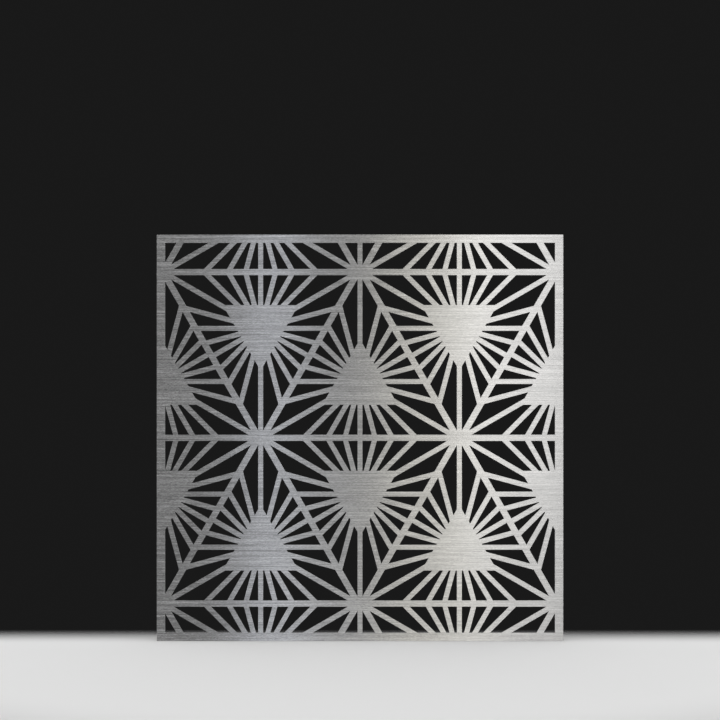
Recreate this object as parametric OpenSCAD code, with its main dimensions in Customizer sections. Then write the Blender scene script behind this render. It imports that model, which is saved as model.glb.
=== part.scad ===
// Laser cut metal screen: one brushed stainless sheet, cut through with a
// lattice of triangles that rays fill, on a mitred frame of steel angle that
// hides behind the sheet's plain border. Weld studs on the back of the sheet,
// with washers and nuts, hold the frame, so the face shows no fixing.
// The screen stands on its bottom edge. X is its width, Z its height, and the
// brushed face looks along -Y.

/* [Sheet] */
// Width of the screen
panel_w = 1000; // [700:10:1600]
// Height of the screen
panel_h = 1000; // [700:10:2000]
// Thickness of the face sheet
sheet_t = 2; // [1.5:0.5:4]
// Width of the plain border, and of the angle's front leg behind it
border_w = 20; // [18:1:40]

/* [Pattern] */
// Side of the triangle that the rays fill, on the centre lines of its bars
triangle_side = 480; // [300:5:700]
// Extra distance between columns, which slides each triangle along its neighbour
column_slip = 4.5; // [0:0.5:8]
// Width of the bars along the triangles' sides
bar_w = 15; // [8:0.5:24]
// Width of each ray
ray_w = 12; // [6:0.5:16]
// Angle between rays
ray_step = 15; // [12, 15, 20, 30]
// Side of the solid triangle at the middle of the rays
core_side = 186; // [120:1:240]
// How far the solid triangle sits from the rays' centre, towards its flat side
core_shift = 3.5; // [0:0.5:6]

/* [Frame] */
// Depth of the frame behind the sheet, which is the angle's outer leg
frame_depth = 40; // [20:1:60]
// Thickness of the angle's legs
angle_t = 3; // [2.5:0.5:4]
// Radius at the angle's root, between its legs
root_r = 3.5; // [2:0.5:4]
// Radius at the toe of each leg
toe_r = 1.8; // [1:0.1:2.2]
// Leg of the weld bead inside each mitred corner
bead_leg = 3; // [2:0.5:5]

/* [Studs and nuts] */
// Diameter of the weld studs' thread
stud_d = 4; // [3:0.5:5]
// How far a stud runs past its nut
stud_tail = 3; // [1:0.5:5]
// Studs along each side of the screen
studs_a_side = 5; // [2:1:9]
// Distance along a side from the corner to the first stud
stud_start = 60; // [40:5:120]
// Diameter of a stud's welded flange
flange_d = 5.5; // [5:0.1:6]
// Thickness of a stud's welded flange
flange_t = 0.8; // [0.5:0.1:1.2]
// Gap round the flange in the angle's clearance hole
flange_gap = 0.35; // [0.2:0.05:0.6]
// Outside diameter of a washer
washer_d = 9; // [8:0.5:10]
// Thickness of a washer
washer_t = 0.8; // [0.5:0.1:1.2]
// Gap between a stud and the bore of its washer
washer_gap = 0.15; // [0.1:0.05:0.3]
// Distance across the flats of a nut
nut_flats = 7; // [6.5:0.5:8]
// Height of a nut
nut_h = 3.2; // [2.5:0.1:4]
// Gap between a stud and the bore of its nut
nut_gap = 0.03; // [0.02:0.01:0.1]

/* [Fixing holes] */
// Diameter of the screw holes in the frame's outer legs, two on each side
fixing_d = 6.5; // [4:0.5:9]
// Distance along a side from the corner to its fixing hole
fixing_start = 100; // [60:5:200]

/* [Hidden] */
$fn = 48;

front_y = -(sheet_t + frame_depth) / 2;  // the brushed face
seat_y = front_y + sheet_t;              // the sheet's back, where the frame sits
leg_y = seat_y + angle_t;                // back of the frame's front leg
back_y = seat_y + frame_depth;           // the frame's rear edge
mid_z = panel_h / 2;
stud_z = leg_middle(border_w);           // from the screen's edge to its row of studs
fixing_y = seat_y + leg_middle(frame_depth);
stud_hole_d = flange_d + 2 * flange_gap;
stud_len = angle_t + washer_t + nut_h + stud_tail;
stud_tip = stud_d / 8;                   // chamfer at the stud's end

window_w = panel_w - 2 * border_w;
window_h = panel_h - 2 * border_w;
inradius = triangle_side / (2 * sqrt(3));
core_inradius = core_side / (2 * sqrt(3));
column_pitch = triangle_side / 2 + column_slip;
// Rows stand where the sloping bars of neighbouring triangles share one line.
row_pitch = sqrt(3) * (triangle_side - column_pitch);
columns = ceil(window_w / 2 / column_pitch) + 1;
rows = ceil(window_h / 2 / row_pitch) + 1;
rays = 360 / ray_step;
reach = 2 * triangle_side;               // longer than any opening
least_opening = 6;                       // smaller scraps of a cut stay solid, in mm2
cut = 1;                                 // how far a cutter runs past the metal

brushed_steel = [0.47, 0.47, 0.47];
mill_steel = [0.43, 0.43, 0.43];
weld_steel = [0.40, 0.39, 0.37];
bright_steel = [0.60, 0.60, 0.61];

// ---- Openings: convex polygons, each cut out by half planes ----

function heading(a) = [cos(a), sin(a)];

// The part of a convex polygon where p * n <= d.
function trim(pts, n, d) = [
    for (i = [0 : 1 : len(pts) - 1])
        let (a = pts[i], b = pts[(i + 1) % len(pts)], over_a = n * a - d, over_b = n * b - d)
            each concat(
                over_a <= 0 ? [a] : [],
                over_a * over_b < 0 ? [a + (b - a) * over_a / (over_a - over_b)] : []
            )
];

function trim_all(pts, planes, i = 0) =
    i == len(planes) ? pts : trim_all(trim(pts, planes[i][0], planes[i][1]), planes, i + 1);

function area(pts) = len(pts) < 3 ? 0 :
    abs([for (i = [0 : len(pts) - 1]) cross(pts[i], pts[(i + 1) % len(pts)])]
        * [for (p = pts) 0.5]);

// The heading of the triangle's side that a line from its centre meets. The
// triangle points up: its flat side is at 270 degrees, the others at 30 and 150.
function side_heading(a) = 30 + 120 * floor((a + 30) % 360 / 120);

// How far the solid core's side lies from the centre of the rays.
function core_reach(side) = core_inradius - core_shift * sin(side);

// The opening after ray k of a triangle that points up, with the centre of its
// rays at [0, 0]: between two rays, inside the bar and outside the solid core.
function ray_opening(k) =
    let (
        a = k * ray_step + 90,
        b = a + ray_step,
        side = side_heading((a + b) / 2),
        wedge = [[0, 0], reach * heading(a), reach * (heading(a) + heading(b)), reach * heading(b)]
    )
    trim_all(wedge, [
        [heading(a - 90), -ray_w / 2],
        [heading(b + 90), -ray_w / 2],
        [heading(side), inradius - bar_w / 2],
        [-heading(side), -core_reach(side)]
    ]);

// The same opening in its place on the sheet, kept clear of the border. way is
// 1 for a triangle that stands on its row and -1 for one that hangs below it.
function placed(pts, x, z, way) =
    trim_all([for (p = pts) [x + p[0], z + way * (inradius + p[1])]], [
        [[1, 0], window_w / 2],
        [[-1, 0], window_w / 2],
        [[0, 1], mid_z + window_h / 2],
        [[0, -1], window_h / 2 - mid_z]
    ]);

openings = [
    for (row = [-rows : rows], column = [-columns : columns])
        if ((row + column) % 2 == 0)
            for (way = [-1, 1], k = [0 : rays - 1])
                let (pts = placed(ray_opening(k), column * column_pitch, mid_z + row * row_pitch, way))
                    if (area(pts) > least_opening) pts
];

module face_sheet() {
    color(brushed_steel)
        translate([0, seat_y, 0])
            rotate([90, 0, 0])
                linear_extrude(sheet_t)
                    difference() {
                        translate([-panel_w / 2, 0]) square([panel_w, panel_h]);
                        for (pts = openings) polygon(pts);
                    }
}

// ---- Frame ----

// Distance from the angle's outer corner to the middle of a leg's flat inside.
function leg_middle(leg) = (angle_t + root_r + leg - toe_r) / 2;

// Section of the angle, with its outer corner at [0, 0]: the outer leg runs
// along +X and the front leg along +Y.
module angle_section() {
    root = angle_t + root_r;
    difference() {
        union() {
            square([frame_depth, angle_t]);
            square([angle_t, border_w]);
            difference() {
                square(root);
                translate([root, root]) circle(root_r);
            }
        }
        toe_waste(frame_depth);
        mirror([1, -1]) toe_waste(border_w);
    }
}

// What is taken off the inner edge of a leg that runs along +X, to round it.
module toe_waste(leg) {
    translate([leg - toe_r, angle_t - toe_r])
        difference() {
            square(toe_r + cut);
            circle(toe_r);
        }
}

// What the two mitres leave of a length of angle that lies along the bottom of
// the screen. It runs a little past the angle at the outside and the inside.
module mitred_outline(side) {
    polygon([
        [-side / 2 - cut, -cut],
        [side / 2 + cut, -cut],
        [side / 2 - border_w - cut, border_w + cut],
        [-side / 2 + border_w + cut, border_w + cut]
    ]);
}

function stud_places(side) = [
    for (i = [0 : studs_a_side - 1]) (side - 2 * stud_start) * (i / (studs_a_side - 1) - 0.5)
];

function fixing_places(side) = [for (s = [-1, 1]) s * (side / 2 - fixing_start)];

// One side of the frame as it lies along the bottom of the screen, with its
// outer leg at z = 0 and its front leg on the back of the sheet.
module frame_side(side) {
    color(mill_steel)
        difference() {
            intersection() {
                translate([-side / 2, seat_y, 0])
                    rotate([90, 0, 90])
                        linear_extrude(side) angle_section();
                translate([0, back_y + cut, 0])
                    rotate([90, 0, 0])
                        linear_extrude(frame_depth + 2 * cut) mitred_outline(side);
            }
            for (x = stud_places(side))
                translate([x, seat_y - cut, stud_z])
                    rotate([-90, 0, 0])
                        cylinder(h = angle_t + 2 * cut, d = stud_hole_d);
            for (x = fixing_places(side))
                translate([x, fixing_y, -cut])
                    cylinder(h = angle_t + 2 * cut, d = fixing_d);
        }
}

// Each turns what lies along the bottom of the screen to one of its sides.
module on_bottom() children();
module on_top() translate([0, 0, panel_h]) rotate([0, 180, 0]) children();
module on_left() translate([-panel_w / 2, 0, mid_z]) rotate([0, 90, 0]) children();
module on_right() translate([panel_w / 2, 0, mid_z]) rotate([0, -90, 0]) children();

module frame_rail_top() { on_top() frame_side(panel_w); }
module frame_rail_bottom() { on_bottom() frame_side(panel_w); }
module frame_stile_left() { on_left() frame_side(panel_h); }
module frame_stile_right() { on_right() frame_side(panel_h); }

// Section of a weld bead that fills the corner of two walls at [0, 0], with a
// slightly full face.
module bead_section() {
    intersection() {
        square(bead_leg);
        translate([-bead_leg, -bead_leg]) circle(bead_leg * sqrt(5));
    }
}

// A bead up the inside of each corner, from the angle's root to its toe.
module corner_welds() {
    color(weld_steel)
        for (x = [-1, 1], z = [-1, 1])
            translate([x * (panel_w / 2 - angle_t), back_y - toe_r, mid_z + z * (panel_h / 2 - angle_t)])
                mirror([x > 0 ? 1 : 0, 0, 0])
                    mirror([0, 0, z > 0 ? 1 : 0])
                        rotate([90, 0, 0])
                            linear_extrude(frame_depth - angle_t - root_r - toe_r) bead_section();
}

// ---- Studs, washers and nuts ----

// Puts children, drawn along +Z from z = 0, at each stud of one side.
module along_side(side, y) {
    for (x = stud_places(side))
        translate([x, y, stud_z]) rotate([-90, 0, 0]) children();
}

module at_studs(y) {
    on_bottom() along_side(panel_w, y) children();
    on_top() along_side(panel_w, y) children();
    on_left() along_side(panel_h, y) children();
    on_right() along_side(panel_h, y) children();
}

module weld_stud() {
    cylinder(h = flange_t, d = flange_d);
    cylinder(h = stud_len - stud_tip, d = stud_d);
    translate([0, 0, stud_len - stud_tip])
        cylinder(h = stud_tip, d1 = stud_d, d2 = stud_d - 2 * stud_tip);
}

module washer() {
    difference() {
        cylinder(h = washer_t, d = washer_d);
        translate([0, 0, -cut]) cylinder(h = washer_t + 2 * cut, d = stud_d + 2 * washer_gap);
    }
}

// A hexagon nut with the corners of both faces turned off.
module nut() {
    corner_d = nut_flats / cos(30);
    chamfer_h = (corner_d - nut_flats) / 2 * tan(30);
    difference() {
        intersection() {
            cylinder(h = nut_h, d = corner_d, $fn = 6);
            rotate_extrude()
                polygon([
                    [0, 0],
                    [nut_flats / 2, 0],
                    [corner_d / 2, chamfer_h],
                    [corner_d / 2, nut_h - chamfer_h],
                    [nut_flats / 2, nut_h],
                    [0, nut_h]
                ]);
        }
        translate([0, 0, -cut]) cylinder(h = nut_h + 2 * cut, d = stud_d + 2 * nut_gap);
    }
}

module weld_studs() { color(bright_steel) at_studs(seat_y) weld_stud(); }
module stud_washers() { color(bright_steel) at_studs(leg_y) washer(); }
module stud_nuts() { color(bright_steel) at_studs(leg_y + washer_t) nut(); }

face_sheet();
frame_rail_top();
frame_rail_bottom();
frame_stile_left();
frame_stile_right();
corner_welds();
weld_studs();
stud_washers();
stud_nuts();
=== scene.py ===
"""A square laser cut metal screen: materials, small details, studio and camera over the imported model."""

import math

import bmesh
import bpy
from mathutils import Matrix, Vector

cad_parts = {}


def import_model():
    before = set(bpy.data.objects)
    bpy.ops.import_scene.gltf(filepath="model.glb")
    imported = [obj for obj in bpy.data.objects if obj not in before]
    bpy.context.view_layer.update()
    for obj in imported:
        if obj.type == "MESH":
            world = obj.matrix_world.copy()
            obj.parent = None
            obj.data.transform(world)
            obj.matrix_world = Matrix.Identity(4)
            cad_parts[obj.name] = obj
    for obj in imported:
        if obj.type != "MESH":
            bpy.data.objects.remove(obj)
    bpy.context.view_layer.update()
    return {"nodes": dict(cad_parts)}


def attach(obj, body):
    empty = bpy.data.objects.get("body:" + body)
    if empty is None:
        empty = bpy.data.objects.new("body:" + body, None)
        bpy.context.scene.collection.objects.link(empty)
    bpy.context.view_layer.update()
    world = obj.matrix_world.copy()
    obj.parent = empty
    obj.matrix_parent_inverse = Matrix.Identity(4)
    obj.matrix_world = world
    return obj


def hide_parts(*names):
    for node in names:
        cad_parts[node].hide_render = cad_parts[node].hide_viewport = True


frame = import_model()

# Lengths are in metres and angles in degrees, unless a comment says otherwise.
HALF_SIDE = 0.5  # half the screen's width, and half its height
CENTRE_Z = 0.5
FACE_Y = -0.021
CORNER_INSET = 0.003  # the thickness of the frame's legs
CORNER = HALF_SIDE - CORNER_INSET  # the frame's inner faces, from its middle
WHITE = (1.0, 1.0, 1.0)
UPRIGHT = (math.radians(90), 0.0, 0.0)  # turns a camera, lamp or board to look along y


# ---------------------------------------------------------------- helpers


def set_inputs(made, inputs):
    """Sets a node's inputs by name, with _ for a space."""
    for name, value in inputs.items():
        made.inputs[name.replace("_", " ")].default_value = value


def node(tree, kind, **inputs):
    """A new node with its inputs set by name."""
    made = tree.nodes.new(kind)
    set_inputs(made, inputs)
    return made


def coordinates(tree, kind):
    """The texture coordinates of one kind, such as Object or Normal."""
    return tree.nodes.new("ShaderNodeTexCoord").outputs[kind]


def axes(tree, vector):
    """A vector's X, Y and Z."""
    split = tree.nodes.new("ShaderNodeSeparateXYZ")
    tree.links.new(vector, split.inputs["Vector"])
    return split.outputs


def math_node(tree, operation, first, second=None):
    """One step of arithmetic on numbers or on other nodes' outputs."""
    made = tree.nodes.new("ShaderNodeMath")
    made.operation = operation
    for slot, value in enumerate((first, second)):
        if isinstance(value, (int, float)):
            made.inputs[slot].default_value = value
        elif value is not None:
            tree.links.new(value, made.inputs[slot])
    return made.outputs[0]


def ranged(tree, value, from_min, from_max, to_min=0.0, to_max=1.0, smooth=False):
    """Turns one range of values into another, and holds what is past its ends."""
    made = tree.nodes.new("ShaderNodeMapRange")
    made.interpolation_type = "SMOOTHSTEP" if smooth else "LINEAR"
    made.clamp = True
    limits = {"From_Min": from_min, "From_Max": from_max, "To_Min": to_min, "To_Max": to_max}
    set_inputs(made, limits)
    tree.links.new(value, made.inputs["Value"])
    return made.outputs["Result"]


def eased(tree, value, limits):
    """The same, given by a row of limits, with a soft start and end."""
    return ranged(tree, value, *limits, smooth=True)


def product(tree, *factors):
    """All the factors multiplied."""
    result = factors[0]
    for factor in factors[1:]:
        result = math_node(tree, "MULTIPLY", result, factor)
    return result


def stretched_noise(tree, place, noise):
    """Noise, given by its grains per metre along x, y and z, its detail and its roughness."""
    per_metre, detail, roughness = noise
    mapping = node(tree, "ShaderNodeMapping", Scale=per_metre)
    tree.links.new(place, mapping.inputs["Vector"])
    made = node(tree, "ShaderNodeTexNoise", Scale=1.0, Detail=detail, Roughness=roughness)
    tree.links.new(mapping.outputs["Vector"], made.inputs["Vector"])
    return made.outputs["Fac"]


def offset(tree, noise, amount):
    """Turns a noise round 0.5 into a length round 0."""
    return math_node(tree, "MULTIPLY", math_node(tree, "SUBTRACT", noise, 0.5), amount)


def swing(tree, noise, amount):
    """Turns a noise round 0.5 into a factor round 1."""
    return math_node(tree, "ADD", offset(tree, noise, amount), 1.0)


def tinted(tree, colour, factor):
    """A colour times a factor."""
    scale = tree.nodes.new("ShaderNodeVectorMath")
    scale.operation = "SCALE"
    scale.inputs[0].default_value = colour
    tree.links.new(factor, scale.inputs["Scale"])
    return scale.outputs["Vector"]


MIX_SOCKETS = {"FLOAT": (2, 3, 0), "RGBA": (6, 7, 2)}  # first, second and result


def mix_node(tree, first, second, kind):
    """A mix of two values or two colours, and its result."""
    mix = tree.nodes.new("ShaderNodeMix")
    mix.data_type = kind
    first_slot, second_slot, result_slot = MIX_SOCKETS[kind]
    tree.links.new(first, mix.inputs[first_slot])
    tree.links.new(second, mix.inputs[second_slot])
    return mix, mix.outputs[result_slot]


def mixed(tree, factor, first, second, kind="FLOAT"):
    """The first at a factor of 0, and the second at 1."""
    mix, result = mix_node(tree, first, second, kind)
    tree.links.new(factor, mix.inputs["Factor"])
    return result


def new_material(name, **inputs):
    """A new material, its tree and its shader, whose inputs are set by name."""
    material = bpy.data.materials.new(name)
    material.use_nodes = True
    tree = material.node_tree
    shader = tree.nodes["Principled BSDF"]
    set_inputs(shader, inputs)
    return material, tree, shader


def metal(name, **inputs):
    """A new metal material, its tree, its shader and its object coordinates."""
    material, tree, shader = new_material(name, Metallic=1.0, **inputs)
    return material, tree, shader, coordinates(tree, "Object")


def matte(name):
    """A new material without gloss, its tree and its shader."""
    return new_material(name, Roughness=0.9, Specular_IOR_Level=0.0)


def bumped(tree, shader, height, relief):
    """Raises a surface by a noise, given the distance and the strength of its relief."""
    distance, strength = relief
    bump = node(tree, "ShaderNodeBump", Strength=strength, Distance=distance)
    tree.links.new(height, bump.inputs["Height"])
    tree.links.new(bump.outputs["Normal"], shader.inputs["Normal"])


def wear(objects, material):
    for item in objects:
        item.data.materials.clear()
        item.data.materials.append(material)


def placed(name, data):
    """A new object in the scene."""
    made = bpy.data.objects.new(name, data)
    bpy.context.scene.collection.objects.link(made)
    return made


# ---------------------------------------------------------------- the sheet's material

# Each noise in this file: grains per metre along x, y and z, detail, roughness.
STREAKS = ((12.0, 20.0, 780.0), 1.0, 0.5)
LONG_STREAKS = ((3.0, 20.0, 740.0), 1.0, 0.5)
DARK_STREAKS = ((6.0, 20.0, 330.0), 1.0, 0.5)
GRAINS = ((220.0, 20.0, 1500.0), 1.0, 0.5)
SCRATCHES = ((25.0, 20.0, 3600.0), 2.0, 0.6)
CUT_RIDGES = ((2600.0, 60.0, 2600.0), 1.0, 0.5)
CLOUDS = ((5.0, 5.0, 3.0), 4.0, 0.55)
ROLLED_LINES = ((700.0, 20.0, 8.0), 2.0, 0.5)
ROLLED_BANDS = ((60.0, 20.0, 1.5), 2.0, 0.5)
NOISE_SPAN = (0.3, 0.7)  # where most values of a noise lie

# How far each noise swings the brightness.
STREAK_SWING = 0.95
LONG_STREAK_SWING = 1.0
GRAIN_SWING = 1.3
SCRATCH_SWING = 0.65
RIDGE_SWING = 0.9
CLOUD_SWING = 0.45
ROLLED_SWING = 0.22

# Each range of four: from and to, and what those two become.
STRONG_AT_LEFT = (-0.5, -0.3, 1.6, 0.95)  # x, and the strength of the grain
WEAK_AT_RIGHT = (0.0, 0.25, 1.0, 0.55)  # the same
DEEP_STREAKS = (0.60, 0.74, 1.0, 0.92)  # the deepest streaks, and their brightness
FRONT_FACING = (-0.6, -0.8)  # y of the normal, from the cut edges to the front
BACK_FACING = (0.6, 0.8)  # the same, from the cut edges to the back

FACE_COLOUR = (0.47, 0.47, 0.47)
CUT_COLOUR = (0.30, 0.295, 0.29)
BACK_COLOUR = (0.52, 0.52, 0.515)
FACE_ANISOTROPY = 0.97
FACE_TURN = 0.25  # a quarter turn, which spreads what the face mirrors up and down
FACE_ROUGHNESS = (0.21, 0.23)
CUT_ROUGHNESS = 0.46
BACK_ROUGHNESS = 0.30
SHEET_RELIEF = (0.00002, 0.5)  # distance and strength


def by_facing(tree, facings, front, side, back, kind="FLOAT"):
    """One value or colour out of three, by which way the surface faces."""
    is_front, is_back = facings
    return mixed(tree, is_front, mixed(tree, is_back, side, back, kind), front, kind)


def brushed_sheet():
    """Brushed face with its grain along x, laser cut edges, and a plain rolled back."""
    material, tree, shader, place = metal(
        "brushed_sheet",
        Anisotropic=FACE_ANISOTROPY,
        Anisotropic_Rotation=FACE_TURN,
    )
    x = axes(tree, place)["X"]
    facing = axes(tree, coordinates(tree, "Normal"))["Y"]
    is_front = ranged(tree, facing, *FRONT_FACING)
    is_back = ranged(tree, facing, *BACK_FACING)
    facings = (is_front, is_back)

    streaks = stretched_noise(tree, place, STREAKS)
    long_streaks = stretched_noise(tree, place, LONG_STREAKS)
    dark_streaks = stretched_noise(tree, place, DARK_STREAKS)
    grains = stretched_noise(tree, place, GRAINS)
    scratches = stretched_noise(tree, place, SCRATCHES)
    strength = product(
        tree,
        ranged(tree, x, *STRONG_AT_LEFT),
        ranged(tree, x, *WEAK_AT_RIGHT),
    )
    grain = product(
        tree,
        swing(tree, streaks, product(tree, strength, STREAK_SWING)),
        swing(tree, long_streaks, product(tree, strength, LONG_STREAK_SWING)),
        swing(tree, grains, product(tree, strength, GRAIN_SWING)),
        swing(tree, scratches, SCRATCH_SWING),
        ranged(tree, dark_streaks, *DEEP_STREAKS),
    )
    front = tinted(tree, FACE_COLOUR, grain)

    ridges = stretched_noise(tree, place, CUT_RIDGES)
    cut = tinted(tree, CUT_COLOUR, swing(tree, ridges, RIDGE_SWING))

    rolled_lines = stretched_noise(tree, place, ROLLED_LINES)
    rolled = product(
        tree,
        swing(tree, stretched_noise(tree, place, CLOUDS), CLOUD_SWING),
        swing(tree, rolled_lines, ROLLED_SWING),
        swing(tree, stretched_noise(tree, place, ROLLED_BANDS), ROLLED_SWING),
    )
    back = tinted(tree, BACK_COLOUR, rolled)

    colour = by_facing(tree, facings, front, cut, back, "RGBA")
    tree.links.new(colour, shader.inputs["Base Color"])
    rough_front = ranged(tree, streaks, *NOISE_SPAN, *FACE_ROUGHNESS)
    rough_elsewhere = ranged(tree, is_back, 0.0, 1.0, CUT_ROUGHNESS, BACK_ROUGHNESS)
    roughness = mixed(tree, is_front, rough_elsewhere, rough_front)
    tree.links.new(roughness, shader.inputs["Roughness"])
    relief = by_facing(tree, facings, scratches, ridges, rolled_lines)
    bumped(tree, shader, relief, SHEET_RELIEF)
    return material


# ---------------------------------------------------------------- the frame's material

ANGLE_COLOUR = (0.43, 0.43, 0.425)
ANGLE_ROUGHNESS = (0.32, 0.46)
ANGLE_RELIEF = (0.00002, 0.6)
ANGLE_LINES = (8.0, 900.0)  # grains per metre, lengthways and crossways
ANGLE_BANDS = (3.0, 260.0)  # the same
ANGLE_PATCHES = ((22.0, 22.0, 22.0), 4.0, 0.6)
LINE_DETAIL = (1.0, 0.5)  # detail and roughness of the noise for both
LINE_SWING = 0.5
BAND_SWING = 0.3
PATCH_SWING = 0.35

SEAM = 0.00012  # half the width of the line where two mitred lengths meet
SEAM_FADE = 2.5  # where the line has faded out, in half widths
SEAM_BRIGHTNESS = 0.35

TINT_RAGGEDNESS = ((160.0, 160.0, 160.0), 2.0, 0.5)
TINT_SPREAD = 0.006  # how far the noise moves the bands in and out
TINT_REACH = (0.003, 0.016)  # where the bands begin and end, from the corner
TINT_BANDS = (  # how far out, as a part of the reach, and the tint there
    (0.0, (0.66, 0.66, 0.68)),  # grey
    (0.28, (0.62, 0.66, 0.78)),  # blue
    (0.5, (0.82, 0.70, 0.60)),  # brown
    (0.74, (1.0, 0.93, 0.76)),  # straw
    (1.0, WHITE),
)


def corner_reaches(tree, place):
    """How far a place is, across and up, from the nearest inside corner of the frame."""
    split = axes(tree, place)
    height = math_node(tree, "SUBTRACT", split["Z"], CENTRE_Z)
    beside = math_node(tree, "SUBTRACT", CORNER, math_node(tree, "ABSOLUTE", split["X"]))
    below = math_node(tree, "SUBTRACT", CORNER, math_node(tree, "ABSOLUTE", height))
    return beside, below


def corner_distance(tree, place):
    beside, below = corner_reaches(tree, place)
    squares = math_node(tree, "ADD", product(tree, beside, beside), product(tree, below, below))
    return math_node(tree, "SQRT", squares)


def seam_shade(tree, place):
    """Dark in the thin line where two mitred lengths meet, and 1 elsewhere."""
    beside, below = corner_reaches(tree, place)
    off = math_node(tree, "ABSOLUTE", math_node(tree, "SUBTRACT", beside, below))
    return ranged(tree, off, SEAM, SEAM_FADE * SEAM, SEAM_BRIGHTNESS, 1.0)


def heat_tinted(tree, place, colour):
    """Grey, blue, brown and straw bands that welding leaves next to the corner beads."""
    ragged = stretched_noise(tree, place, TINT_RAGGEDNESS)
    spread = offset(tree, ragged, TINT_SPREAD)
    distance = math_node(tree, "ADD", corner_distance(tree, place), spread)
    bands = tree.nodes.new("ShaderNodeValToRGB")
    tree.links.new(ranged(tree, distance, *TINT_REACH), bands.inputs["Fac"])
    ramp = bands.color_ramp
    while len(ramp.elements) < len(TINT_BANDS):
        ramp.elements.new(0.5)
    for element, (at, tint) in zip(ramp.elements, TINT_BANDS):
        element.position = at
        element.color = (*tint, 1.0)
    mix, result = mix_node(tree, colour, bands.outputs["Color"], "RGBA")
    mix.blend_type = "MULTIPLY"
    mix.inputs["Factor"].default_value = 1.0
    return result


def lines_along(axis, grains):
    """A noise of lines along one axis, from its grains per metre lengthways and crossways."""
    lengthways, crossways = grains
    per_metre = tuple(lengthways if other == axis else crossways for other in "XYZ")
    return (per_metre, *LINE_DETAIL)


def drawn_angle(name, axis):
    """Mill finish angle: fine lines along its length, dull patches, and heat tint at its ends."""
    material, tree, shader, place = metal(name)
    lines = stretched_noise(tree, place, lines_along(axis, ANGLE_LINES))
    bands = stretched_noise(tree, place, lines_along(axis, ANGLE_BANDS))
    patches = stretched_noise(tree, place, ANGLE_PATCHES)
    shade = product(
        tree,
        swing(tree, lines, LINE_SWING),
        swing(tree, bands, BAND_SWING),
        swing(tree, patches, PATCH_SWING),
        seam_shade(tree, place),
    )
    colour = heat_tinted(tree, place, tinted(tree, ANGLE_COLOUR, shade))
    tree.links.new(colour, shader.inputs["Base Color"])
    roughness = ranged(tree, patches, *NOISE_SPAN, *ANGLE_ROUGHNESS)
    tree.links.new(roughness, shader.inputs["Roughness"])
    bumped(tree, shader, lines, ANGLE_RELIEF)
    return material


# ---------------------------------------------------------------- weld and fastener materials

WELD_COLOUR = (0.40, 0.39, 0.38)
WARM_WELD_COLOUR = (0.46, 0.41, 0.34)
WELD_ROUGHNESS = (0.28, 0.46)
WELD_RELIEF = (0.00001, 0.6)
WELD_SPOTS = ((500.0, 500.0, 500.0), 2.0, 0.5)
WELD_PATCHES = ((130.0, 130.0, 130.0), 2.0, 0.5)
WELD_SKIN = ((4000.0, 6000.0, 4000.0), 2.0, 0.5)
SPOT_SWING = 0.6
WARM_FROM = (0.42, 0.62)  # the values of the patches from which the weld turns warm

WASHER_COLOUR = (0.60, 0.60, 0.61)
WASHER_ROUGHNESS = 0.30
NUT_COLOUR = (0.64, 0.64, 0.65)
NUT_ROUGHNESS = 0.24
STUD_COLOUR = (0.55, 0.55, 0.56)
STUD_ROUGHNESS = 0.28
FASTENER_RELIEF = (0.00001, 0.5)
TURNING_MARKS = ((300.0, 5000.0, 300.0), 2.0, 0.5)
GRIME = ((240.0, 240.0, 240.0), 3.0, 0.6)
MARK_SWING = 0.3
GRIME_SWING = 0.35
GRIME_SMOOTHER = 0.05  # how far the roughness goes below its middle, and above it
GRIME_ROUGHER = 0.07


def weld_bead():
    """As welded steel: dull, with straw and grey patches and a fine skin."""
    material, tree, shader, place = metal("weld_bead")
    spots = stretched_noise(tree, place, WELD_SPOTS)
    patches = stretched_noise(tree, place, WELD_PATCHES)
    skin = stretched_noise(tree, place, WELD_SKIN)
    grey = tinted(tree, WELD_COLOUR, swing(tree, spots, SPOT_SWING))
    warm = tinted(tree, WARM_WELD_COLOUR, swing(tree, spots, SPOT_SWING))
    colour = mixed(tree, ranged(tree, patches, *WARM_FROM), grey, warm, "RGBA")
    tree.links.new(colour, shader.inputs["Base Color"])
    roughness = ranged(tree, spots, *NOISE_SPAN, *WELD_ROUGHNESS)
    tree.links.new(roughness, shader.inputs["Roughness"])
    bumped(tree, shader, skin, WELD_RELIEF)
    return material


def turned_steel(name, colour, roughness):
    """Bright fastener steel with faint turning marks and a little grime."""
    material, tree, shader, place = metal(name)
    marks = stretched_noise(tree, place, TURNING_MARKS)
    grime = stretched_noise(tree, place, GRIME)
    shade = product(tree, swing(tree, marks, MARK_SWING), swing(tree, grime, GRIME_SWING))
    tree.links.new(tinted(tree, colour, shade), shader.inputs["Base Color"])
    limits = (roughness - GRIME_SMOOTHER, roughness + GRIME_ROUGHER)
    tree.links.new(ranged(tree, grime, *NOISE_SPAN, *limits), shader.inputs["Roughness"])
    bumped(tree, shader, marks, FASTENER_RELIEF)
    return material


# ---------------------------------------------------------------- small shapes

STUD_ROW = 0.01235  # from the screen's edge to its row of studs
STUD_PLACES = (-0.44, -0.22, 0.0, 0.22, 0.44)
STUD_FROM = -0.019  # the back of the sheet
STUD_LENGTH = 0.010
FLANGE = (0.00275, 0.0008)  # radius and thickness
CREST = 0.002  # the thread's outer radius
ROOT = 0.00158
TIP = 0.0005  # the chamfer
THREAD_PITCH = 0.0007
THREAD_FROM = 0.0058  # just inside the nut, from the stud's foot
THREAD_STEPS = 7  # rings to each turn
THREAD_PEAK = 1.35  # where the flanks would meet, with the root at 0 and the crest at 1
THREAD_SLOPE = 3.4  # how far they fall from there, in each pitch
THREAD_START = 0.37  # the part of a turn from one stud's thread to the next one's
ROUND = 28  # points to each ring
STUD_SHARP = 40  # edges sharper than this stay sharp

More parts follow.
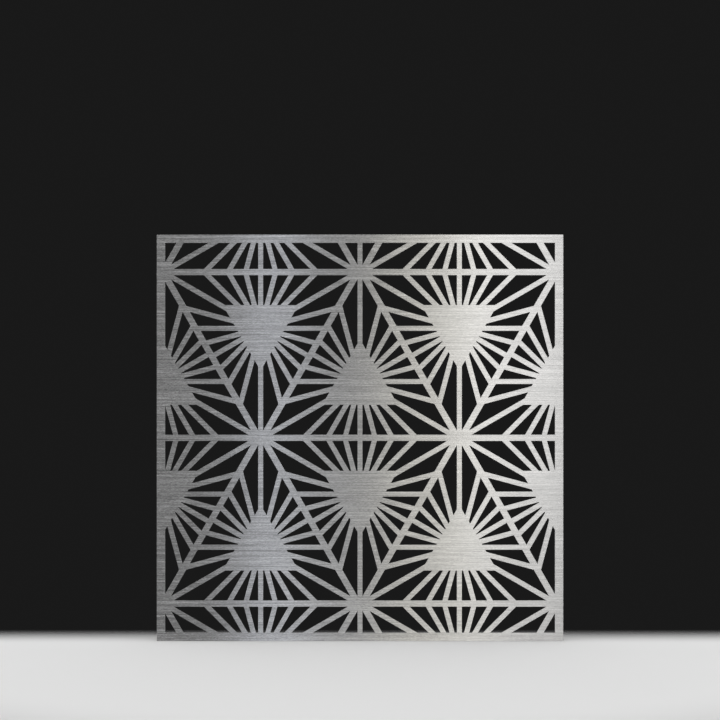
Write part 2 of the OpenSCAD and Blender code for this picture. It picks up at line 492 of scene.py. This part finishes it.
BEAD_LEG = 0.003
BEAD_FROM = -0.0125
BEAD_TO = 0.0192
BEAD_SINK = 0.0001  # how far it goes into the frame
BEAD_STEP = 0.0002
BEAD_DROP = 0.0017  # from one drop of weld to the next
BEAD_POINTS = 9
BEAD_SHARP = 60
BEAD_END = 0.0022  # the length over which an end is rounded
BEAD_END_SIZE = 0.25
BEAD_BASE = 0.94  # how far the bead stands out between two drops, round 1
DROP_RISE = 0.08
DROP_FULLNESS = 0.6  # lower is rounder on top, with sharper valleys
DROP_BOW = 0.55  # how far a drop's front bends at the bead's edges, in drops
# Waves along a bead: size, turn in radians for each metre along it, for each half of its width
# and for each bead.
BEAD_WANDERS = ((0.35, 410.0, 0.0, 2.1), (0.25, 930.0, 0.0, 5.3))
BEAD_SWELLS = ((0.03, 260.0, 0.0, 3.7), (0.02, 690.0, 1.0, 1.0))


def from_rings(name, shells):
    """One mesh of closed shells, each a row of rings with as many points in every ring."""
    points = []
    faces = []
    for rings in shells:
        first = len(points)
        size = len(rings[0])
        for ring in rings:
            points.extend(ring)
        for row in range(len(rings) - 1):
            here = first + row * size
            for i in range(size):
                j = (i + 1) % size
                faces.append((here + i, here + j, here + size + j, here + size + i))
        last = first + (len(rings) - 1) * size
        faces.append(tuple(reversed(range(first, first + size))))
        faces.append(tuple(range(last, last + size)))
    mesh = bpy.data.meshes.new(name)
    mesh.from_pydata(points, [], faces)
    work = bmesh.new()
    work.from_mesh(mesh)
    bmesh.ops.recalc_face_normals(work, faces=work.faces)
    work.to_mesh(mesh)
    work.free()
    return placed(name, mesh)


def shade_smooth(piece, sharp):
    """Smooth shading, apart from edges sharper than an angle."""
    for face in piece.data.polygons:
        face.use_smooth = True
    piece.data.set_sharp_from_angle(angle=math.radians(sharp))


def thread_radius(height, turn):
    """The radius of the thread at a height and a part of a turn: a V with a flat crest and root."""
    phase = (height / THREAD_PITCH - turn) % 1.0
    rise = min(max(THREAD_PEAK - abs(phase - 0.5) * THREAD_SLOPE, 0.0), 1.0)
    return ROOT + (CREST - ROOT) * rise


def stud_rings():
    """A stud from its foot: flange, shank, thread and chamfered tip, as radius, turn and height."""
    turns = [turn / ROUND for turn in range(ROUND)]
    flange_radius, flange_height = FLANGE
    plain = (
        (0.0, flange_radius),
        (flange_height, flange_radius),
        (flange_height, CREST),
        (THREAD_FROM, CREST),
    )
    rings = [[(radius, turn, height) for turn in turns] for height, radius in plain]
    step = THREAD_PITCH / THREAD_STEPS
    count = round((STUD_LENGTH - THREAD_FROM) / step)
    for row in range(1, count + 1):
        height = THREAD_FROM + row * step
        limit = CREST - TIP + (STUD_LENGTH - height)
        rings.append([(min(thread_radius(height, turn), limit), turn, height) for turn in turns])
    return rings


def threaded_studs():
    """The weld studs with real threads, where the CAD has plain ones."""
    edge = HALF_SIDE - STUD_ROW
    centres = [(place, side * edge) for side in (-1, 1) for place in STUD_PLACES]
    centres += [(side * edge, place) for side in (-1, 1) for place in STUD_PLACES]
    rings = stud_rings()
    shells = []
    for number, (x, z) in enumerate(centres):
        start = number * THREAD_START
        shell = []
        for ring in rings:
            around = []
            for radius, turn, height in ring:
                angle = 2 * math.pi * (turn + start)
                around.append((
                    x + radius * math.cos(angle),
                    STUD_FROM + height,
                    CENTRE_Z + z + radius * math.sin(angle),
                ))
            shell.append(around)
        shells.append(shell)
    piece = from_rings("threaded_studs", shells)
    shade_smooth(piece, STUD_SHARP)
    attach(piece, "root")
    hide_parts("weld_studs")
    return piece


def waves(rows, along, across, seed):
    """The sum of some waves along a bead."""
    return sum(
        size * math.sin(along * rate + across * lean + seed * shift)
        for size, rate, lean, shift in rows
    )


def bead_scale(along, across, seed):
    """How far a bead stands out, round 1: drops with a curved front, uneven in length and height."""
    wander = waves(BEAD_WANDERS, along, across, seed)
    phase = along / BEAD_DROP + wander - DROP_BOW * across * across
    drop = abs(math.sin(math.pi * phase)) ** DROP_FULLNESS
    return BEAD_BASE + DROP_RISE * drop + waves(BEAD_SWELLS, along, across, seed)


def bead_end(along):
    """Rounds both ends of a bead."""
    reach = min(along - BEAD_FROM, BEAD_TO - along) / BEAD_END
    if reach >= 1.0:
        return 1.0
    rounded = math.sqrt(max(1.0 - (1.0 - reach) ** 2, 0.0))
    return BEAD_END_SIZE + (1.0 - BEAD_END_SIZE) * rounded


def weld_beads():
    """The rippled beads up the inside of the mitred corners, where the CAD has plain ones."""
    low = math.atan2(1.0, 2.0)  # the outline is an arc round a point one leg behind the corner
    sweep = math.pi / 2 - 2 * low
    radius = BEAD_LEG * math.sqrt(5)
    stations = round((BEAD_TO - BEAD_FROM) / BEAD_STEP)
    shells = []
    for seed, (right, up) in enumerate(((-1, -1), (1, -1), (-1, 1), (1, 1))):
        shell = []
        for row in range(stations + 1):
            along = BEAD_FROM + (BEAD_TO - BEAD_FROM) * row / stations
            outline = [(0.0, 0.0)]
            for i in range(BEAD_POINTS):
                part = i / (BEAD_POINTS - 1)
                angle = low + sweep * part
                scale = bead_scale(along, 2 * part - 1, seed) * bead_end(along)
                outline.append((
                    scale * (radius * math.cos(angle) - BEAD_LEG),
                    scale * (radius * math.sin(angle) - BEAD_LEG),
                ))
            ring = []
            for inwards, upwards in outline:
                ring.append((
                    right * (CORNER + BEAD_SINK - inwards),
                    along,
                    CENTRE_Z + up * (CORNER + BEAD_SINK - upwards),
                ))
            shell.append(ring)
        shells.append(shell)
    piece = from_rings("weld_beads", shells)
    shade_smooth(piece, BEAD_SHARP)
    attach(piece, "root")
    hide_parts("corner_welds")
    return piece


# ---------------------------------------------------------------- camera

PICTURE = 720  # pixels, each way
MM_PER_PIXEL = 2.4606  # at the front face
HORIZON_ROW = 360
CENTRE_ROW = 437.8
LENS_MM = 85
SENSOR_MM = 36
CAMERA_DISTANCE = LENS_MM / SENSOR_MM * PICTURE * MM_PER_PIXEL / 1000


def camera():
    """A level camera straight in front, as high as the photograph's horizon."""
    data = bpy.data.cameras.new("camera")
    data.lens = LENS_MM
    data.sensor_width = SENSOR_MM
    made = placed("camera", data)
    height = CENTRE_Z + (CENTRE_ROW - HORIZON_ROW) * MM_PER_PIXEL / 1000
    made.location = (0.0, FACE_Y - CAMERA_DISTANCE, height)
    made.rotation_euler = UPRIGHT
    bpy.context.scene.camera = made


# ---------------------------------------------------------------- floor and backdrop

FLOOR_COLOUR = (0.81, 0.81, 0.81)
FLOOR_SIDE = 30.0
FLOOR_CENTRE = (0.0, 0.3, 0.0)
FLOOR_AWAY = (1.2, 2.2)  # where the floor fades out, from its centre
FLOOR_BEHIND = (-0.06, 0.16)  # where it fades out behind the screen, along y

PALE_LEVEL = 0.72
DARK_LEVEL = 0.010
BACKDROP_EDGE = (0.215, 0.315)  # tangent of the angle from straight behind, sideways and up
BACKDROP_FOOT = (-0.42, -0.58)  # the same, downwards
LEAST_AHEAD = 0.001  # keeps those tangents from a division by nothing


def stage_plane(name, size, place, material):
    """A square plane for the floor or the board."""
    bpy.ops.mesh.primitive_plane_add(size=size, location=place)
    plane = bpy.context.object
    plane.name = name
    plane.data.materials.append(material)
    return plane


def floor():
    """A pale floor that fades out round the screen, soonest behind it, where the backdrop begins."""
    material, tree, shader = matte("floor")
    shader.inputs["Base Color"].default_value = (*FLOOR_COLOUR, 1.0)
    place = coordinates(tree, "Object")
    length = tree.nodes.new("ShaderNodeVectorMath")
    length.operation = "DISTANCE"
    length.inputs[1].default_value = FLOOR_CENTRE
    tree.links.new(place, length.inputs[0])
    away = eased(tree, length.outputs["Value"], FLOOR_AWAY)
    behind = eased(tree, axes(tree, place)["Y"], FLOOR_BEHIND)
    clear = tree.nodes.new("ShaderNodeBsdfTransparent")
    fade = tree.nodes.new("ShaderNodeMixShader")
    tree.links.new(math_node(tree, "MAXIMUM", away, behind), fade.inputs["Fac"])
    tree.links.new(shader.outputs["BSDF"], fade.inputs[1])
    tree.links.new(clear.outputs["BSDF"], fade.inputs[2])
    tree.links.new(fade.outputs["Shader"], tree.nodes["Material Output"].inputs["Surface"])
    plane = stage_plane("floor", FLOOR_SIDE, (0.0, 0.0, 0.0), material)
    plane.visible_glossy = False  # the face mirrors the board and the lamps down to its foot


def world():
    """A pale room with a dark backdrop straight behind the screen."""
    sky = bpy.data.worlds.new("studio")
    bpy.context.scene.world = sky
    sky.use_nodes = True
    tree = sky.node_tree
    background = tree.nodes["Background"]
    background.inputs["Color"].default_value = (*WHITE, 1.0)
    look = axes(tree, coordinates(tree, "Generated"))
    ahead = math_node(tree, "MAXIMUM", look["Y"], LEAST_AHEAD)
    sideways = math_node(tree, "DIVIDE", math_node(tree, "ABSOLUTE", look["X"]), ahead)
    upwards = math_node(tree, "DIVIDE", look["Z"], ahead)
    beside = eased(tree, sideways, BACKDROP_EDGE)
    above = eased(tree, upwards, BACKDROP_EDGE)
    below = eased(tree, upwards, BACKDROP_FOOT)
    pale = math_node(tree, "MAXIMUM", beside, math_node(tree, "MAXIMUM", above, below))
    level = ranged(tree, pale, 0.0, 1.0, DARK_LEVEL, PALE_LEVEL)
    tree.links.new(level, background.inputs["Strength"])


# ---------------------------------------------------------------- what the brushed face mirrors

FLAG_DISTANCE = 6.0
FLAG_SIZE = (5.0, 10.0, 1.0)  # its width and height, as the scale of a plane one metre wide
# Places on the board as parts of its width or height, and what they become.
FLAG_ACROSS = (0.47, 0.80, 0.502, 0.87)  # its level, from left to right
FLAG_LEFT = (0.30, 0.42, -0.15, 0.0)  # changes of that level low on the board
FLAG_MIDDLE_FROM = (0.37, 0.44, 0.0, 1.0)
FLAG_MIDDLE_TO = (0.505, 0.56, 0.90, 0.0)
FLAG_RIGHT = (0.60, 0.70, 0.0, -0.50)
FLAG_LOW = (0.34, 0.51, 1.0, 0.0)  # where on its height those changes are

SOFTBOXES = (  # name, x from and to on the face, z from and to, radiance, colour, distance
    ("key", (0.25, 0.55), (-1.0, 4.5), 1.17, (1.0, 0.985, 0.96), 5.0),
    ("glint", (-0.285, -0.15), (-3.0, 4.5), 0.535, (0.90, 0.95, 1.08), 5.15),
    ("fill", (0.06, 0.31), (-3.0, 4.5), 0.577, (1.03, 0.98, 0.84), 5.3),
)
BANKS = (  # name, place, size, radiance
    ("top_left", (-3.6, -0.5, 4.2), (3.0, 4.0), 1.0),
    ("top_right", (3.6, -0.5, 4.2), (3.0, 4.0), 1.0),
    ("rear", (0.0, 9.0, -0.7), (5.2, 7.4), 0.65),
)
STRIP_AZIMUTHS = (-62, -45, -28, 28, 45, 62)
STRIP_DISTANCE = 7.0
STRIP_HEIGHT = 1.0  # of its middle
STRIP_SIZE = (0.75, 8.0)
FRONT_STRIPS = 0.6  # radiance
REAR_STRIPS = 0.4


def flag():
    """The grey board in front of the screen that its brushed face mirrors, paler to the right."""
    material, tree, shader = matte("flag")
    split = axes(tree, coordinates(tree, "Generated"))
    side = split["X"]
    height = split["Y"]
    across = eased(tree, side, FLAG_ACROSS)
    left = eased(tree, side, FLAG_LEFT)
    middle = product(
        tree,
        eased(tree, side, FLAG_MIDDLE_FROM),
        eased(tree, side, FLAG_MIDDLE_TO),
    )
    right = eased(tree, side, FLAG_RIGHT)
    low = eased(tree, height, FLAG_LOW)
    shift = math_node(tree, "ADD", left, math_node(tree, "ADD", middle, right))
    level = product(tree, across, math_node(tree, "ADD", 1.0, product(tree, shift, low)))
    tree.links.new(tinted(tree, WHITE, level), shader.inputs["Base Color"])
    board = stage_plane("flag", 1.0, (0.0, FACE_Y - FLAG_DISTANCE, CENTRE_Z), material)
    board.scale = FLAG_SIZE
    board.rotation_euler = UPRIGHT
    board.visible_camera = False


def area_lamp(name, place, size, radiance):
    """A lamp that the camera doesn't see, but that metal mirrors."""
    light = bpy.data.lights.new(name, "AREA")
    light.shape = "RECTANGLE"
    light.size, light.size_y = size
    light.energy = radiance * math.pi * size[0] * size[1]
    lamp = placed(name, light)
    lamp.location = place
    lamp.visible_camera = False
    return lamp


def softbox(name, x_span, z_span, radiance, colour, distance):
    """A tall lamp in front of the screen. Its x span is the part of the face that mirrors it."""
    x_from, x_to = x_span
    z_from, z_to = z_span
    reach = 1.0 + distance / CAMERA_DISTANCE
    place = ((x_from + x_to) / 2 * reach, FACE_Y - distance, (z_from + z_to) / 2)
    size = ((x_to - x_from) * reach, z_to - z_from)
    lamp = area_lamp(name, place, size, radiance)
    lamp.data.color = colour
    lamp.rotation_euler = UPRIGHT


def bank(name, place, size, radiance):
    """A wide soft lamp that looks at the middle of the screen."""
    lamp = area_lamp(name, place, size, radiance)
    to_screen = Vector((0.0, 0.0, CENTRE_Z)) - Vector(place)
    lamp.rotation_euler = to_screen.to_track_quat("-Z", "Y").to_euler()


def strips(side, radiance):
    """Tall narrow lamps that the sheet mirrors when it is seen from the left or the right.

    The side is -1 for those in front of the screen, and 1 for those behind it.
    """
    for azimuth in STRIP_AZIMUTHS:
        turn = math.radians(azimuth)
        x = STRIP_DISTANCE * math.sin(turn)
        y = side * STRIP_DISTANCE * math.cos(turn)
        bank("strip", (x, y, STRIP_HEIGHT), STRIP_SIZE, radiance)


# ---------------------------------------------------------------- the scene

camera()
floor()
world()
flag()
for row in SOFTBOXES:
    softbox(*row)
for row in BANKS:
    bank(*row)
strips(-1, FRONT_STRIPS)
strips(1, REAR_STRIPS)

nodes = frame["nodes"]
beads = weld_beads()
studs = threaded_studs()
wear([nodes["face_sheet"]], brushed_sheet())
wear([nodes["frame_rail_top"], nodes["frame_rail_bottom"]], drawn_angle("drawn_rail", "X"))
wear([nodes["frame_stile_left"], nodes["frame_stile_right"]], drawn_angle("drawn_stile", "Z"))
wear([nodes["corner_welds"], beads], weld_bead())
wear([nodes["stud_washers"]], turned_steel("washer_steel", WASHER_COLOUR, WASHER_ROUGHNESS))
wear([nodes["stud_nuts"]], turned_steel("nut_steel", NUT_COLOUR, NUT_ROUGHNESS))
wear([nodes["weld_studs"], studs], turned_steel("stud_steel", STUD_COLOUR, STUD_ROUGHNESS))

scene = bpy.context.scene
scene.view_settings.view_transform = "Standard"
